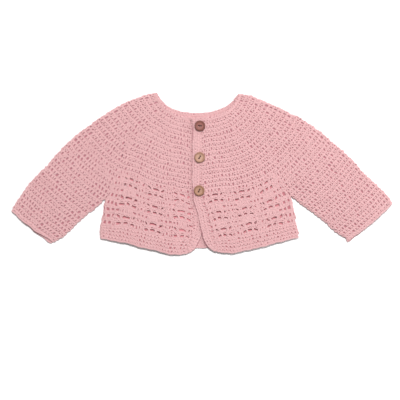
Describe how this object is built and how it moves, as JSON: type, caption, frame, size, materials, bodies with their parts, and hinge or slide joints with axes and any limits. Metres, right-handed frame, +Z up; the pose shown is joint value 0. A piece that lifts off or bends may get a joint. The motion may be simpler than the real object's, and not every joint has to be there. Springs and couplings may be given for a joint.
{
  "type": "baby cardigan",
  "caption": "Crocheted baby cardigan with long sleeves, lace lower body and buttoned front, laid flat on its back.",
  "frame": {"origin": "on the surface the cardigan lies on, under the middle of its outline", "axes": "+X across the cardigan from cuff to cuff, +Y towards the neck, +Z up out of the front"},
  "size_m": [0.532, 0.2256, 0.0109],
  "materials": {
    "crochet": "matt crocheted cotton yarn",
    "edging": "matt crocheted cotton yarn, close stitches",
    "button_dark": "stained, satin",
    "button_pale": "turned, satin"
  },
  "bodies": {
    "root": {"back_panel": "crochet", "front_left": "crochet", "front_right": "crochet", "sleeve_left": "crochet", "sleeve_right": "crochet", "cuff_left": "edging", "cuff_right": "edging", "band_left": "edging", "band_right": "edging", "hem_edging_left": "edging", "hem_edging_right": "edging", "hem_edging_back": "edging", "neck_edging_left": "edging", "neck_edging_right": "edging", "neck_edging_back": "edging", "button_1": "button_dark", "button_2": "button_pale", "button_3": "button_pale"}
  },
  "joints": []
}
